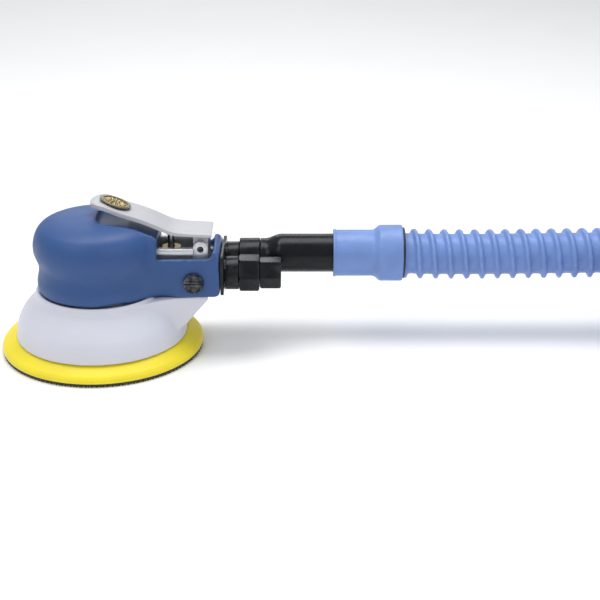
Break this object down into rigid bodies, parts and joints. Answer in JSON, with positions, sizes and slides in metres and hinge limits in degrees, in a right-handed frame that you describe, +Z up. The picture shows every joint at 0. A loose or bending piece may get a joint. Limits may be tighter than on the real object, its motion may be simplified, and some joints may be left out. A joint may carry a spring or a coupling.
{
  "type": "orbital sander",
  "caption": "Palm-grip air-driven random orbital sander with lever, speed regulator, round hook pad, dust shroud and a vacuum hose coiled for storage.",
  "frame": {"origin": "centre of the pad's working face, with the pad at its rest place on the orbit", "axes": "+Z up along the motor axis, +X from the motor along the handle towards the hose, -Y to the side with the speed regulator"},
  "size_m": [0.7152, 0.3697, 0.0987],
  "materials": {
    "blue_grip": "matte moulded grip cover, deep blue",
    "cast_aluminium": "bead-blasted casting",
    "satin_lever": "satin pressed sheet",
    "bright_steel": "ground steel",
    "dark_steel": "blackened steel",
    "bronze": "turned bronze",
    "black_plastic": "glass-filled black plastic",
    "pale_shroud": "pale lavender-grey moulding",
    "yellow_pad": "yellow moulded urethane foam",
    "hook_pile": "dark hook material",
    "composite": "glass-fibre laminate",
    "hose_blue": "flexible light-blue hose plastic",
    "badge_gold": "embossed brass with dark recesses",
    "black_rubber": "black nitrile rubber"
  },
  "bodies": {
    "root": {"grip_cover": "blue_grip", "motor_housing": "cast_aluminium", "lower_end_plate": "cast_aluminium", "upper_end_plate": "cast_aluminium", "cylinder_liner": "bright_steel", "throttle_spring": "bright_steel", "regulator_stop_pin": "bright_steel", "inlet_screen": "bright_steel", "lower_bearing_outer_race": "bright_steel", "upper_bearing_outer_race": "bright_steel", "rear_plate_screw_near": "dark_steel", "rear_plate_screw_far": "dark_steel", "lever_pin": "dark_steel", "lock_ring": "bronze", "valve_bushing": "bronze", "rear_plate": "black_plastic", "inlet_adapter": "black_plastic", "inlet_locknut": "black_plastic", "inlet_bushing": "black_plastic", "vacuum_neck": "black_plastic", "vacuum_collar": "black_plastic", "vacuum_tube": "black_plastic", "dust_shroud": "pale_shroud", "hose_cuff": "hose_blue", "vacuum_hose": "hose_blue", "hose_coil": "hose_blue", "hose_end_cuff": "hose_blue", "hose_strap": "black_rubber"},
    "rotor": {"shaft_balancer": "dark_steel", "rotor": "bright_steel", "rotor_vane_1": "composite", "rotor_vane_2": "composite", "rotor_vane_3": "composite", "rotor_vane_4": "composite", "rotor_vane_5": "composite", "rotor_key": "bright_steel", "shaft_circlip": "dark_steel", "lower_bearing_inner_race": "bright_steel", "lower_bearing_balls": "dark_steel", "upper_bearing_inner_race": "bright_steel", "upper_bearing_balls": "dark_steel", "spindle_bearing_outer_race": "bright_steel"},
    "pad": {"spindle": "bright_steel", "spindle_bearing_inner_race": "bright_steel", "spindle_bearing_balls": "dark_steel", "spindle_circlip": "dark_steel", "pad_stud": "bright_steel", "pad_backing_plate": "composite", "pad_body": "yellow_pad", "hook_face": "hook_pile"},
    "lever": {"lever": "satin_lever", "lever_badge": "badge_gold"},
    "throttle_valve": {"throttle_stem": "bright_steel", "throttle_seal": "black_rubber"},
    "regulator": {"regulator_valve": "dark_steel", "regulator_o_ring": "black_rubber"}
  },
  "joints": [
    {"name": "motor_spin", "type": "hinge", "parent": "root", "child": "rotor", "pos_m": [0, -0.0025, 0.05], "axis": [0, 0, 1], "continuous": true},
    {"name": "pad_spin", "type": "hinge", "parent": "rotor", "child": "pad", "pos_m": [0, 0, 0.02], "axis": [0, 0, 1], "continuous": true},
    {"name": "lever_pivot", "type": "hinge", "parent": "root", "child": "lever", "pos_m": [0.0636, -0.0025, 0.0691], "axis": [0, -1, 0], "range_deg": [0, 5], "stiffness_Nm_per_rad": 3, "springref_deg": -5.73},
    {"name": "throttle_slide", "type": "slide", "parent": "root", "child": "throttle_valve", "axis": [0, 0, -1], "range_m": [0, 0.0018], "deforming": ["throttle_spring"]},
    {"name": "regulator_turn", "type": "hinge", "parent": "root", "child": "regulator", "pos_m": [0.0592, -0.0205, 0.0496], "axis": [0, -1, 0], "range_deg": [0, 90]}
  ],
  "couplings": [
    {"joint": "throttle_slide", "follows": "lever_pivot", "m_per_rad": 0.0186}
  ]
}
